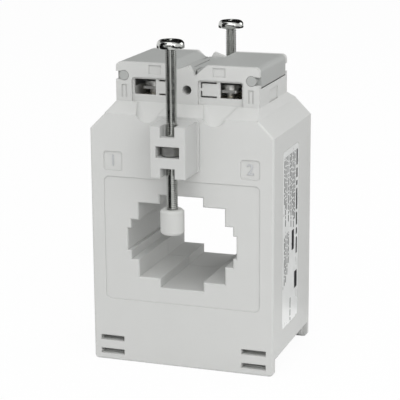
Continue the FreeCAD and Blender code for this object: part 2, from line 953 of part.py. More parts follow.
def make_clamp_block(name, turned):
    """The plastic holder that clips to the housing and traps the nut."""
    body = new_body(name)
    face = -s.body_depth / 2
    tip = face - s.clamp_reach
    low, top = s.clamp_low_z, s.clamp_top_z
    middle = (low + top) / 2
    pad(body, "front", face, -1, s.clamp_reach, centred(ZERO, middle, s.clamp_width, top - low))
    dress("Fillet", body, s.edge_round / 2,
          lambda box: near(box.YMax, tip) and near(box.XMin, box.XMax))
    base = centred(ZERO, middle, s.clamp_base_width, top - low, s.edge_round)
    pad(body, "front", face, -1, s.clamp_base_wall, base)
    tongue = centred(ZERO, middle, s.clamp_tongue_width, s.clamp_tongue_height)
    pad(body, "front", face, 1, s.clamp_tongue_depth, tongue)
    pocket(body, "plan", top, -1, top - low, (ZERO, clamp_y(), s.clamp_bore_radius))
    channel = rectangle(-s.channel_width / 2, s.channel_width / 2, tip - s.edge_round, clamp_y())
    pocket(body, "plan", top, -1, s.channel_top, channel)
    pocket(body, "plan", low, 1, s.channel_low, channel)
    wide = s.nut_width + s.nut_side_gap * 2
    window = centred(ZERO, s.nut_window_z, wide, s.nut_height + s.nut_end_gap * 2)
    depth = s.clamp_reach - s.clamp_axis_reach + s.nut_width / SQRT3 + s.nut_side_gap
    pocket(body, "front", tip, 1, depth, window)
    if turned:
        turn_round(body)
    return body


def make_clamp_nut(name, turned):
    """The hexagon nut that the clamp screw turns in."""
    nut = doc.addObject("Part::Prism", name + "_hexagon")
    nut.Polygon = 6
    bind(nut, "Circumradius", s.nut_width / SQRT3)
    bind(nut, "Height", s.nut_height)
    cone_height = s.nut_width / 2
    domes = []
    for label, low, high in (("upper", 1.0, 0.0), ("lower", 0.0, 1.0)):
        dome = doc.addObject("Part::Cone", name + "_" + label)
        wide = s.nut_width / 2 + cone_height * SQRT3
        bind(dome, "Radius1", wide if low else s.nut_width / 2)
        bind(dome, "Radius2", s.nut_width / 2 if low else wide)
        bind(dome, "Height", cone_height)
        drop = s.nut_height - cone_height if low else ZERO
        bind(dome, "Placement.Base.z", drop)
        domes.append(dome)
    shaped = doc.addObject("Part::MultiCommon", name + "_chamfered")
    shaped.Shapes = [nut] + domes
    bore = doc.addObject("Part::Cylinder", name + "_bore")
    bind(bore, "Radius", s.clamp_thread_radius + s.thread_clearance)
    bind(bore, "Height", s.nut_height)
    cut = doc.addObject("Part::Cut", name)
    cut.Label = name
    cut.Base = shaped
    cut.Tool = bore
    end = -1 if turned else 1
    bind(cut, "Placement.Base.y", clamp_y() * end)
    bind(cut, "Placement.Base.z", s.nut_window_z - s.nut_height / 2)
    return cut


def cut_cross(body, x, y, top, length, width, depth):
    """A cross recess in a screw head."""
    pocket(body, "plan", top, -1, depth, centred(x, y, length, width))
    pocket(body, "plan", top, -1, depth, centred(x, y, width, length))


def make_clamp_screw(name, end):
    """The long pan-head screw that presses the foot on the busbar."""
    body = new_body(name)
    y = clamp_y() * end
    radius, head = s.clamp_thread_radius, s.clamp_head_radius
    tip = s.clamp_tip_z
    seat = tip + s.clamp_screw_length
    top = seat + s.clamp_head_height
    profile = [
        (ZERO, tip),
        (radius - s.tip_chamfer, tip),
        (radius, tip + s.tip_chamfer),
        (radius, seat),
        (head, seat),
        (head, seat + s.clamp_head_edge),
        (head - s.clamp_head_edge / 2, seat + s.clamp_head_crown),
        (head - s.clamp_head_crown, top),
        (ZERO, top),
    ]
    revolve(body, "front", y, [profile])
    cut_cross(body, ZERO, y, top, s.cross_length, s.cross_width, s.cross_depth)
    return body


def make_clamp_foot(name, end):
    """The plastic cap on the screw's tip."""
    body = new_body(name)
    y = clamp_y() * end
    top = s.clamp_tip_z + s.foot_socket_depth
    low = top - s.foot_height
    radius, edge = s.foot_radius, s.foot_edge
    profile = [
        (ZERO, low),
        (radius - edge, low),
        (radius, low + edge),
        (radius, top - edge),
        (radius - edge, top),
        (ZERO, top),
    ]
    revolve(body, "front", y, [profile])
    socket = (ZERO, y, s.clamp_thread_radius + s.thread_clearance)
    pocket(body, "plan", top, -1, s.foot_socket_depth, socket)
    return body


# Terminals

def make_terminal_bar(name, side):
    """The tapped brass bar that joins the front and rear screws of one terminal."""
    body = new_body(name)
    reach = s.block_depth / 2 - s.end_wall - s.terminal_end_gap
    x = bar_offset() * side
    strip = centred(x, ZERO, s.terminal_width, reach * 2, s.edge_round)
    pad(body, "plan", s.chamber_floor_z, 1, s.terminal_thickness, strip)
    radius = s.terminal_thread_radius + s.terminal_clearance
    holes = [(x, terminal_screw_y() * turn, radius) for turn in (FRONT, REAR)]
    pocket(body, "plan", s.chamber_floor_z, 1, s.terminal_thickness, *holes)
    return body


def saddle_z():
    """The underside of a terminal's saddle when the terminal is open."""
    return s.chamber_floor_z + s.terminal_thickness + s.wire_gap


def make_terminal_saddle(name, side, turn):
    """The square washer that presses the wire on the bar."""
    body = new_body(name)
    x, y = bar_offset() * side, terminal_screw_y() * turn
    wide = s.terminal_width - s.saddle_clearance
    plate = centred(x, y, wide, wide, s.edge_round)
    pad(body, "plan", saddle_z(), 1, s.saddle_thickness, plate)
    hole = (x, y, s.terminal_thread_radius + s.saddle_clearance)
    pocket(body, "plan", saddle_z(), 1, s.saddle_thickness, hole)
    return body


def make_terminal_screw(name, side, turn):
    """A cross-head terminal screw, standing in its raised, open place."""
    body = new_body(name)
    x, y = bar_offset() * side, terminal_screw_y() * turn
    seat = saddle_z() + s.saddle_thickness
    top = seat + s.terminal_head_height
    tip = seat - s.terminal_screw_length
    pad(body, "plan", tip, 1, s.terminal_screw_length, (x, y, s.terminal_thread_radius))
    pad(body, "plan", seat, 1, s.terminal_head_height, (x, y, s.terminal_head_radius))
    dress("Chamfer", body, s.edge_round / 2,
          lambda box: near(box.ZMin, top) and near(box.ZMax, top))
    cut_cross(body, x, y, top, s.terminal_cross_length, s.terminal_cross_width,
              s.terminal_cross_depth)
    return body


def make_lead(name, side):
    """The insulated wire from the winding up to a terminal bar."""
    body = new_body(name)
    x = bar_offset() * side
    top = s.chamber_floor_z - s.lead_end_gap
    radius, across = winding_radius(), bar_offset()
    chord = (float(radius) ** 2 - float(across) ** 2) ** 0.5
    rise = Size(chord, "sqrt(%s ^ 2 - %s ^ 2)" % (radius.text, across.text))
    low = s.window_z + rise + s.lead_radius / 2
    pad(body, "plan", low, 1, top - low, (x, ZERO, s.lead_radius))
    return body


# Core and winding

def ring(body, inner, outer, length):
    """A ring round the tunnel, centred front to rear."""
    half = length / 2
    section = rectangle(-half, half, inner, outer)
    revolve(body, "side", ZERO, [section], "H_Axis", s.window_z)


def make_winding():
    """The secondary winding, as one closed skin of wire round the capped core."""
    body = new_body("secondary_winding")
    inner, outer = s.tunnel_radius + s.seat_gap, winding_radius()
    half, wall = s.winding_length / 2, s.winding_wall
    skin = []
    slant = wall / 2
    for end, low, top in ((-1, inner, outer), (1, outer, inner)):
        skin += [
            ((half - slant) * end, low),
            (half * end, low - slant * end),
            (half * end, top + slant * end),
            ((half - slant) * end, top),
        ]
    room = rectangle(-half + wall, half - wall, inner + wall, outer - wall)
    revolve(body, "side", ZERO, [skin, room], "H_Axis", s.window_z)
    return body


def core_room():
    """The inner radius, outer radius and half length of the room inside the winding."""
    gap = s.winding_wall + s.nest_gap
    return (s.tunnel_radius + s.seat_gap + gap, winding_radius() - gap,
            s.winding_length / 2 - gap)


def make_core_cap(name, end):
    """One of the two insulating cups that close round the core."""
    body = new_body(name)
    inner, outer, half = core_room()
    wall = s.core_cap_wall
    joint = s.core_cap_joint / 2
    section = [
        (joint * end, inner),
        (half * end, inner),
        (half * end, outer),
        (joint * end, outer),
        (joint * end, outer - wall),
        ((half - wall) * end, outer - wall),
        ((half - wall) * end, inner + wall),
        (joint * end, inner + wall),
    ]
    revolve(body, "side", ZERO, [section], "H_Axis", s.window_z)
    return body


def make_core():
    """The ring core, wound from steel strip."""
    body = new_body("ring_core")
    inner, outer, half = core_room()
    gap = s.core_cap_wall + s.nest_gap
    ring(body, inner + gap, outer - gap, (half - gap) * 2)
    return body


# Document

doc = FreeCAD.newDocument("CurrentTransformer")
s = make_sheet()

pieces = [
    make_front_shell(),
    make_rear_cover(),
    make_label(),
    make_winding(),
    make_core_cap("front_core_cap", FRONT),
    make_core_cap("rear_core_cap", REAR),
    make_core(),
    make_lid("right_lid", False),
    make_lid("left_lid", True),
]
for word, end in (("front", 1), ("rear", -1)):
    turned = end < 0
    pieces.append(make_clamp_block(word + "_clamp_block", turned))
    pieces.append(make_clamp_nut(word + "_clamp_nut", turned))
    pieces.append(make_clamp_screw(word + "_clamp_screw", end))
    pieces.append(make_clamp_foot(word + "_clamp_foot", end))
for hand, side in (("left", LEFT), ("right", RIGHT)):
    pieces.append(make_terminal_bar(hand + "_terminal_bar", side))
    pieces.append(make_lead(hand + "_lead", side))
    for word, turn in (("front", FRONT), ("rear", REAR)):
        place = "%s_%s_terminal_" % (word, hand)
        pieces.append(make_terminal_saddle(place + "saddle", side, turn))
        pieces.append(make_terminal_screw(place + "screw", side, turn))
doc.recompute()
for piece in pieces:
    if piece.isDerivedFrom("PartDesign::Body"):
        check_pockets(piece)

for item in doc.Objects:
    if "Invalid" in item.State or "Error" in item.State:
        raise ValueError("%s failed: %s" % (item.Name, item.State))
for piece in pieces:
    if piece.Shape.isNull() or not piece.Shape.isValid() or len(piece.Shape.Solids) != 1:
        raise ValueError("%s is not one valid solid" % piece.Label)

os.makedirs("parts", exist_ok=True)
for piece in pieces:
    piece.Shape.exportStep("parts/%s.step" % piece.Label)
    box = piece.Shape.BoundBox
    corners = (box.XMin, box.YMin, box.ZMin, box.XMax, box.YMax, box.ZMax)
    print(piece.Label, "volume %.1f" % piece.Shape.Volume, ["%.2f" % c for c in corners])
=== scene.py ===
# %% [markdown]
# # A window-type current transformer
# The object is a moulded plastic housing round a ring core. A busbar goes through its stepped
# window, two long screws clamp the bar, and two hinged lids cover the terminals on top.
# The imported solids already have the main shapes, so this lesson first loads them as a frame.
# Then it gives each piece its surface, and adds what only shows close up: threads, cross
# recesses, print, moulded numbers and pockets behind the foot slots.

# %% Load the frame
import json
import math
import bpy
from mathutils import Matrix, Vector


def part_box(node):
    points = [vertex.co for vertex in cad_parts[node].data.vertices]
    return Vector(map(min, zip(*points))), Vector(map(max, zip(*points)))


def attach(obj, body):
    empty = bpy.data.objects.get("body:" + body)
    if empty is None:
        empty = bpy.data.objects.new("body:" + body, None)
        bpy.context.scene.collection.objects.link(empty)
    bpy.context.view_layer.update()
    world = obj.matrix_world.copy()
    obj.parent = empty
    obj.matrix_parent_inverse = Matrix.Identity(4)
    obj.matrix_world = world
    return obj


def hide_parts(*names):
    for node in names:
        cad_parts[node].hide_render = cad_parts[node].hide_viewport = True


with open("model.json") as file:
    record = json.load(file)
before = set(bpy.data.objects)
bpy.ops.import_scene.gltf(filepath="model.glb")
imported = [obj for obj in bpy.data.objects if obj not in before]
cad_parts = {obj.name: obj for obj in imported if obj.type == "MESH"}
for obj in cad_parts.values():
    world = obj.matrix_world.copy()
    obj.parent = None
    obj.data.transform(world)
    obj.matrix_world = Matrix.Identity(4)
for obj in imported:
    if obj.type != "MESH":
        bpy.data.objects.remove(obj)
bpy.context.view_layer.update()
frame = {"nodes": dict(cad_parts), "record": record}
MM = 0.001


def middle(node):
    """The middle of a solid's box."""
    low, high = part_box(node)
    return (Vector(low) + Vector(high)) / 2


# %% [markdown]
# ## The camera
# The picture was taken from the right and a little above, with a long lens. The camera's place
# and turn were worked out from edges whose real directions are known, and its lens from how
# fast those edges run together. Building the turn from three directions at right angles keeps
# it free of guesses: one points back at the camera, one to its right and one up.

# %% Place the camera
YAW, PITCH, ROLL = (math.radians(angle) for angle in (18.90, 14.07, -0.34))
CAMERA_PLACE = Vector((179.0, -526.8, 197.5)) * MM
FOCAL_PX = 1518.1
FRAME_PX = 400
SENSOR_MM = 36

back = Vector((
    math.sin(YAW) * math.cos(PITCH),
    -math.cos(YAW) * math.cos(PITCH),
    math.sin(PITCH),
))
level = Vector((math.cos(YAW), math.sin(YAW), 0))
upward = back.cross(level)
right = level * math.cos(ROLL) + upward * math.sin(ROLL)
up = back.cross(right)

camera_data = bpy.data.cameras.new("studio_camera")
camera_data.sensor_width = SENSOR_MM
camera_data.lens = FOCAL_PX / FRAME_PX * SENSOR_MM
camera = bpy.data.objects.new("studio_camera", camera_data)
bpy.context.scene.collection.objects.link(camera)
turn = Matrix((right, up, back)).transposed().to_4x4()
camera.matrix_world = Matrix.Translation(CAMERA_PLACE) @ turn
bpy.context.scene.camera = camera
bpy.context.scene.view_settings.view_transform = "Standard"
print("lens %.1f mm" % camera_data.lens)

# %% [markdown]
# ## Floor and light
# A catalogue picture has a white ground and soft light from large panels. The ground's white
# comes from its colour and from what the camera ray sees, not from more light, so the grey
# plastic keeps its own tone. Wide area lamps give soft shadows, and a pale world fills them.
# One Mix Shader does both tricks: it shows plain white to rays that look at the background,
# and paper, or a dimmer world, to all the others.

# %% Helpers for materials
WHITE = (1, 1, 1, 1)


def new_material(name):
    """An empty node material and its output node."""
    material = bpy.data.materials.new(name)
    material.use_nodes = True
    nodes = material.node_tree.nodes
    nodes.clear()
    return material, nodes.new("ShaderNodeOutputMaterial")


def seen_ray(tree):
    """1 for rays that look at the background straight on, through glass or in a mirror."""
    path = tree.nodes.new("ShaderNodeLightPath")
    highest = path.outputs["Is Camera Ray"]
    for ray in ("Is Glossy Ray", "Is Transmission Ray"):
        larger = tree.nodes.new("ShaderNodeMath")
        larger.operation = "MAXIMUM"
        tree.links.new(highest, larger.inputs[0])
        tree.links.new(path.outputs[ray], larger.inputs[1])
        highest = larger.outputs[0]
    return highest


def mix_shaders(tree, share, first, second, output):
    """Blends two shaders by a share, 0 for the first and 1 for the second."""
    mix = tree.nodes.new("ShaderNodeMixShader")
    tree.links.new(share, mix.inputs[0])
    tree.links.new(first.outputs[0], mix.inputs[1])
    tree.links.new(second.outputs[0], mix.inputs[2])
    tree.links.new(mix.outputs[0], output.inputs["Surface"])


print("material helpers are ready")

# %% Lay the floor
FLOOR_WIDTH = 6
PAPER_GREY = (0.86, 0.86, 0.86, 1)
# What the camera sees is this share of plain white, and the rest is paper with its shadow
GLOW_SHARE = 0.95


def deselect_all():
    """Deselects every object, because an operator acts on all that is selected."""
    bpy.ops.object.select_all(action="DESELECT")


def coat(piece, material):
    """Gives a piece one material and no other."""
    piece.data.materials.clear()
    piece.data.materials.append(material)


def floor_material():
    """Pale paper that keeps a faint shadow and runs into the white background."""
    material, output = new_material("studio_floor")
    tree = material.node_tree
    paper = tree.nodes.new("ShaderNodeBsdfDiffuse")
    paper.inputs["Color"].default_value = PAPER_GREY
    glow = tree.nodes.new("ShaderNodeEmission")
    glow.inputs["Color"].default_value = WHITE
    share = tree.nodes.new("ShaderNodeMath")
    share.operation = "MULTIPLY"
    share.inputs[1].default_value = GLOW_SHARE
    tree.links.new(seen_ray(tree), share.inputs[0])
    mix_shaders(tree, share.outputs[0], paper, glow, output)
    return material


deselect_all()
bpy.ops.mesh.primitive_plane_add(size=FLOOR_WIDTH, location=(0, 0, 0))
floor = bpy.context.object
floor.name = "studio_floor"
coat(floor, floor_material())
print("floor", FLOOR_WIDTH, "m wide")

# %% Fill the world
WORLD_FILL = 0.62


def add_background(tree, strength):
    """A white background of one strength."""
    background = tree.nodes.new("ShaderNodeBackground")
    background.inputs["Color"].default_value = WHITE
    background.inputs["Strength"].default_value = strength
    return background


world = bpy.data.worlds.new("studio_world")
bpy.context.scene.world = world
world.use_nodes = True
world_tree = world.node_tree
world_tree.nodes.clear()
mix_shaders(
    world_tree,
    seen_ray(world_tree),
    add_background(world_tree, WORLD_FILL),
    add_background(world_tree, 1),
    world_tree.nodes.new("ShaderNodeOutputWorld"),
)
print("world white to the camera, fill", WORLD_FILL)

# %% Hang four soft lamps
AIM = Vector((0, 0, 0.06))


def soft_lamp(name, place, power, size):
    """A square panel that faces the middle of the object, in metres and watts."""
    lamp_data = bpy.data.lights.new(name, "AREA")
    lamp_data.size = size
    lamp_data.energy = power
    lamp = bpy.data.objects.new(name, lamp_data)
    bpy.context.scene.collection.objects.link(lamp)
    lamp.location = place
    lamp.rotation_euler = (AIM - Vector(place)).to_track_quat("-Z", "Y").to_euler()
    print(name, "at", place, "with", power, "W")


soft_lamp("front_panel", (0.1, -0.8, 1.0), 4.1, 0.6)
soft_lamp("key_panel", (0.64, -0.7, 0.6), 2.8, 0.6)
soft_lamp("top_panel", (-0.3, -0.1, 1.1), 1.7, 0.8)
soft_lamp("rear_panel", (0.66, 0.66, 0.42), 1.6, 0.5)

# %% [markdown]
# ## Dark cards for the metal
# Bright metal in an all-white studio reflects white and looks like plaster. Photographers stand
# black cards just outside the picture, so that screws and nuts get dark edges. Here the cards
# are planes that only reflections see: they cast no shadow and take no light from the plastic.
# Four stand round the object, three lie on the floor and two hang above, because a round rod
# and a domed head mirror the studio in all these directions.

# %% Stand the dark cards
CARD_BLACK = (0.01, 0.01, 0.01, 1)


def card_material():
    """Matt black cloth."""
    material, output = new_material("card_black")
    tree = material.node_tree
    cloth = tree.nodes.new("ShaderNodeBsdfDiffuse")
    cloth.inputs["Color"].default_value = CARD_BLACK
    tree.links.new(cloth.outputs[0], output.inputs["Surface"])
    return material


def dark_card(name, place, size, facing):
    """A black plane for reflections only; place and size in metres."""
    deselect_all()
    bpy.ops.mesh.primitive_plane_add(size=1, location=place)
    card = bpy.context.object
    card.name = name
    card.scale = (size[0], size[1], 1)
    card.rotation_euler = Vector(facing).to_track_quat("Z", "Y").to_euler()
    card.visible_camera = False
    card.visible_diffuse = False
    card.visible_shadow = False
    card.visible_transmission = False
    coat(card, card_black)
    print(name, "faces", facing)


card_black = card_material()
dark_card("left_card", (-0.55, -0.35, 0.25), (0.5, 0.9), (1, 0.5, 0))
dark_card("right_card", (0.62, -0.75, 0.22), (0.34, 0.5), (-0.6, 1, 0))
dark_card("rear_card", (0.1, 0.9, 0.5), (1.4, 0.9), (0, -1, 0))
dark_card("left_floor_card", (-0.45, -0.42, 0.002), (0.9, 0.7), (0, 0, 1))
dark_card("right_floor_card", (0.58, -0.3, 0.002), (0.64, 1.0), (0, 0, 1))
dark_card("far_floor_card", (-0.15, 0.45, 0.002), (1.2, 0.8), (0, 0, 1))
dark_card("ceiling_card", (0.0, 0.65, 0.98), (2.4, 1.2), (0, 0, -1))
dark_card("near_card", (0.2, -0.98, 0.2), (1.5, 0.26), (0, 1, 0))
dark_card("left_high_card", (-0.62, -0.45, 0.8), (0.9, 0.9), (0.62, 0.45, -0.7))

# %% [markdown]
# ## Moulded plastic
# The housing is light grey plastic from a spark-eroded mould, so it has a very fine even grain
# and a low sheen, with slight clouding where the melt flowed. A noise texture a few tenths of
# a millimetre across drives the bump and the roughness, and a wide soft one shifts the colour
# a little. A Bevel node rounds the edges' shading, as a mould does. The same recipe with other
# numbers gives the smoky lids and the pale screw feet.

# %% Nodes that every finish uses
NOISE_LOW, NOISE_HIGH = 0.3, 0.7


def add_place(tree):
    """Where a point lies on its piece."""
    return tree.nodes.new("ShaderNodeTexCoord").outputs["Object"]


def add_noise(tree, place, scale, detail=2):
    """A cloudy 0 to 1 value; scale is in spots per metre."""
    noise = tree.nodes.new("ShaderNodeTexNoise")
    noise.inputs["Scale"].default_value = scale
    noise.inputs["Detail"].default_value = detail
    tree.links.new(place, noise.inputs["Vector"])
    return noise.outputs["Fac"]


def add_range(tree, value, low, high):
    """Spreads a noise's usual span between two numbers."""
    spread = tree.nodes.new("ShaderNodeMapRange")
    spread.inputs["From Min"].default_value = NOISE_LOW
    spread.inputs["From Max"].default_value = NOISE_HIGH
    spread.inputs["To Min"].default_value = low
    spread.inputs["To Max"].default_value = high
    tree.links.new(value, spread.inputs["Value"])
    return spread.outputs["Result"]


def add_tint(tree, value, first, second):
    """Blends two colours by a 0 to 1 value."""
    blend = tree.nodes.new("ShaderNodeMix")
    blend.data_type = "RGBA"
    blend.inputs["A"].default_value = (*first, 1)
    blend.inputs["B"].default_value = (*second, 1)
    tree.links.new(value, blend.inputs["Factor"])
    return blend.outputs["Result"]


def add_bump(tree, height, distance):
    """Relief from a 0 to 1 value; distance is its depth in metres."""
    bump = tree.nodes.new("ShaderNodeBump")
    bump.inputs["Distance"].default_value = distance
    tree.links.new(height, bump.inputs["Height"])
    return bump


def shaded(colour, share):
    """A colour made darker or lighter by a share."""
    return [part * share for part in colour]


print("noise runs from about", NOISE_LOW, "to", NOISE_HIGH)

# %% Mix the plastics
CLOUD_SCALE = 45
GRAIN_SCALE = 2600
GRAIN_DETAIL = 3
GRAIN_SPREAD = 0.05
CLOUD_DARK, CLOUD_LIGHT = 0.98, 1.02
EDGE_RADIUS = 0.4 * MM
EDGE_SAMPLES = 6
PLASTIC_SPECULAR = 0.3


def moulded_plastic(name, colour, roughness, grain_depth=0.02 * MM):
    """Plastic with a fine mould grain, faint flow clouds and edges that look softened."""
    material, output = new_material(name)
    tree = material.node_tree
    surface = tree.nodes.new("ShaderNodeBsdfPrincipled")
    place = add_place(tree)
    clouds = add_noise(tree, place, CLOUD_SCALE)
    grain = add_noise(tree, place, GRAIN_SCALE, GRAIN_DETAIL)
    tint = add_tint(tree, clouds, shaded(colour, CLOUD_DARK), shaded(colour, CLOUD_LIGHT))
    polish = add_range(tree, grain, roughness - GRAIN_SPREAD, roughness + GRAIN_SPREAD)
    rounded = tree.nodes.new("ShaderNodeBevel")
    rounded.samples = EDGE_SAMPLES
    rounded.inputs["Radius"].default_value = EDGE_RADIUS
    relief = add_bump(tree, grain, grain_depth)
    tree.links.new(rounded.outputs["Normal"], relief.inputs["Normal"])
    tree.links.new(tint, surface.inputs["Base Color"])
    tree.links.new(polish, surface.inputs["Roughness"])
    tree.links.new(relief.outputs["Normal"], surface.inputs["Normal"])
    surface.inputs["Specular IOR Level"].default_value = PLASTIC_SPECULAR
    tree.links.new(surface.outputs[0], output.inputs["Surface"])
    print(name, "colour", [round(part, 2) for part in colour])
    return material


housing_grey = moulded_plastic("housing_grey", (0.575, 0.58, 0.568), 0.5)
lid_grey = moulded_plastic("lid_grey", (0.40, 0.41, 0.40), 0.45, grain_depth=0.01 * MM)
clamp_grey = moulded_plastic("clamp_grey", (0.53, 0.535, 0.525), 0.45)
foot_white = moulded_plastic("foot_white", (0.545, 0.55, 0.535), 0.4)
cap_black = moulded_plastic("cap_black", (0.03, 0.03, 0.035), 0.5)
number_grey = moulded_plastic("number_grey", (0.50, 0.51, 0.52), 0.4)

# %% [markdown]
# ## Metals
# The clamp screws are bright zinc, the nuts, saddles and terminal screws duller zinc, the bars
# brass and the core wound steel strip. The duller zinc is painted lighter than the bright zinc,
# as painted light for the nuts and terminal screws that sit in shaded pockets. Each is a
# metallic surface whose roughness wanders with a noise, because plated steel is never evenly
# polished, and a second noise stains its colour. On the bars and the core the first noise is
# stretched along one direction, which gives the fine streaks of rolled metal.

# %% Mix the metals
POLISH_SCALE = 900
POLISH_DETAIL = 4
POLISH_SPREAD = 0.08
POLISH_RELIEF = 0.008 * MM
STAIN_SCALE = 220
STAIN_SHADE = 0.86


def plated_metal(name, colour, roughness, streak=(1, 1, 1)):
    """Metal with uneven polish; streak stretches the pattern where it is under 1."""
    material, output = new_material(name)
    tree = material.node_tree
    surface = tree.nodes.new("ShaderNodeBsdfPrincipled")
    place = add_place(tree)
    stretch = tree.nodes.new("ShaderNodeMapping")
    stretch.inputs["Scale"].default_value = streak
    tree.links.new(place, stretch.inputs["Vector"])
    wander = add_noise(tree, stretch.outputs["Vector"], POLISH_SCALE, POLISH_DETAIL)
    stain = add_noise(tree, place, STAIN_SCALE)
    tint = add_tint(tree, stain, shaded(colour, STAIN_SHADE), colour)
    polish = add_range(tree, wander, roughness - POLISH_SPREAD, roughness + POLISH_SPREAD)
    relief = add_bump(tree, wander, POLISH_RELIEF)
    tree.links.new(tint, surface.inputs["Base Color"])
    tree.links.new(polish, surface.inputs["Roughness"])
    tree.links.new(relief.outputs["Normal"], surface.inputs["Normal"])
    surface.inputs["Metallic"].default_value = 1
    tree.links.new(surface.outputs[0], output.inputs["Surface"])
    print(name, "roughness", roughness)
    return material


bright_zinc = plated_metal("bright_zinc", (0.54, 0.55, 0.53), 0.17)
# Its rougher finish is the duller plating, and its colour is lifted above the bright zinc's as
# painted light for the nuts and terminal screws in shaded pockets
dull_zinc_painted_light = plated_metal("dull_zinc_painted_light", (0.68, 0.68, 0.66), 0.36)
terminal_brass = plated_metal("terminal_brass", (0.70, 0.62, 0.45), 0.3, (1, 0.1, 1))
core_strip = plated_metal("core_strip", (0.32, 0.32, 0.33), 0.4, (1, 0.03, 1))

# %% [markdown]
# ## Winding and leads
# The winding inside is enamelled copper wire, laid round the ring. It is seen only when the
# housing is opened, so a wave pattern that follows the angle round the ring's axis is enough
# for its turns. A Mapping node centres that angle on the axis, because the piece's own origin
# is down at the floor. The leads are plain black insulated wire.

# %% Mix the winding and the lead
WIRE_TURNS = 240
WIRE_RELIEF = 0.2 * MM
ENAMEL_METALLIC = 0.9
ENAMEL_ROUGHNESS = 0.3
# The darker copper is painted shade for the grooves between turns, and the lighter one is the
# copper's own colour
COPPER_GROOVE_SHADE, COPPER_LIGHT = (0.30, 0.09, 0.03), (0.72, 0.30, 0.14)


def add_math(tree, operation, first, second=None):
    """One Math node on one or two values."""
    step = tree.nodes.new("ShaderNodeMath")
    step.operation = operation
    tree.links.new(first, step.inputs[0])
    if second is not None:
        tree.links.new(second, step.inputs[1])
    return step


def wound_copper(name, axis_height):
    """Copper wire whose turns follow the angle round a level axis along Y."""
    material, output = new_material(name)
    tree = material.node_tree
    surface = tree.nodes.new("ShaderNodeBsdfPrincipled")
    centre = tree.nodes.new("ShaderNodeMapping")
    centre.inputs["Location"].default_value = (0, 0, -axis_height)
    tree.links.new(add_place(tree), centre.inputs["Vector"])
    parts = tree.nodes.new("ShaderNodeSeparateXYZ")
    tree.links.new(centre.outputs["Vector"], parts.inputs[0])
    angle = add_math(tree, "ARCTAN2", parts.outputs["Z"], parts.outputs["X"])
    turns = add_math(tree, "MULTIPLY", angle.outputs[0])
    turns.inputs[1].default_value = WIRE_TURNS
    wave = add_math(tree, "SINE", turns.outputs[0])
    # The wave's ends are clipped, so that each turn is round with a narrow groove beside it
    height = add_range(tree, wave.outputs[0], NOISE_LOW, NOISE_HIGH)
    relief = add_bump(tree, height, WIRE_RELIEF)
    # The same height paints shade into the colour: the grooves are darker, and the crests keep
    # the copper's own colour
    tint = add_tint(tree, height, COPPER_GROOVE_SHADE, COPPER_LIGHT)
    tree.links.new(tint, surface.inputs["Base Color"])
    tree.links.new(relief.outputs["Normal"], surface.inputs["Normal"])
    surface.inputs["Metallic"].default_value = ENAMEL_METALLIC
    surface.inputs["Roughness"].default_value = ENAMEL_ROUGHNESS
    tree.links.new(surface.outputs[0], output.inputs["Surface"])
    print(name, "has", WIRE_TURNS, "turns of wire in view")
    return material


copper = wound_copper("enamelled_copper", middle("front_core_cap").z)
wire_black = moulded_plastic("wire_black", (0.02, 0.02, 0.022), 0.35)

# %% [markdown]
# ## The label's film
# The rating label is a smooth pale film let into the side wall. Film is flatter and glossier
# than the plastic round it, with only a faint waviness from the glue below. The ink on it has
# the same recipe in black.

# %% Mix the label film and its ink
RIPPLE_SCALE = 160
RIPPLE_SPREAD = 0.04
RIPPLE_RELIEF = 0.03 * MM
RIPPLE_SHADE = 0.97


def printed_film(name, colour, roughness):
    """A smooth film that is a little wavy."""
    material, output = new_material(name)
    tree = material.node_tree
    surface = tree.nodes.new("ShaderNodeBsdfPrincipled")
    ripple = add_noise(tree, add_place(tree), RIPPLE_SCALE)
    tint = add_tint(tree, ripple, shaded(colour, RIPPLE_SHADE), colour)
    polish = add_range(tree, ripple, roughness - RIPPLE_SPREAD, roughness + RIPPLE_SPREAD)
    relief = add_bump(tree, ripple, RIPPLE_RELIEF)
    tree.links.new(tint, surface.inputs["Base Color"])
    tree.links.new(polish, surface.inputs["Roughness"])
    tree.links.new(relief.outputs["Normal"], surface.inputs["Normal"])
    tree.links.new(surface.outputs[0], output.inputs["Surface"])
    print(name, "roughness", roughness)
    return material


label_film = printed_film("label_film", (0.78, 0.79, 0.78), 0.3)
label_ink = printed_film("label_ink", (0.03, 0.03, 0.033), 0.35)

# %% [markdown]
# ## A finish for every solid
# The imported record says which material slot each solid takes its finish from. So one short
# table from slot to material dresses them all, and a solid that was forgotten would stop the
# script here.

# %% Dress the solids
FINISHES = {
    "housing_plastic": housing_grey,
    "lid_plastic": lid_grey,
    "clamp_plastic": clamp_grey,
    "foot_plastic": foot_white,
    "cap_plastic": cap_black,
    "bright_steel": bright_zinc,
    "zinc_steel": dull_zinc_painted_light,
    "core_steel": core_strip,
    "terminal_brass": terminal_brass,
    "copper_wire": copper,
    "wire_insulation": wire_black,
    "label_film": label_film,
}
slots = {part["node"]: part["material_slot"] for part in frame["record"]["subparts"]}
for node, solid in frame["nodes"].items():
    coat(solid, FINISHES[slots[node]])
print("finished", len(slots), "solids")

# %% [markdown]
# ## Screws with real threads
# A screw's thread is one small tooth that runs round and up. In Blender that is a short upright
# edge whose middle is pulled out to a crest, with a Screw modifier: each turn lifts it by the
# pitch, so neighbouring turns meet. The ragged ends are then cut flat. The pan head starts as
# a cylinder whose rim is rounded with a bevel, and a cross-shaped cutter takes the driver's
# recess out of it. Each screw replaces its plain solid and rides on the same body.

# %% Helpers for modelling by hand
def only(piece):
    """Makes one object the selected and active one."""
    deselect_all()
    piece.select_set(True)
    bpy.context.view_layer.objects.active = piece


def join_all(pieces):
    """Joins pieces into the first of them."""
    only(pieces[0])
    for piece in pieces:
        piece.select_set(True)
    bpy.ops.object.join()
    return pieces[0]


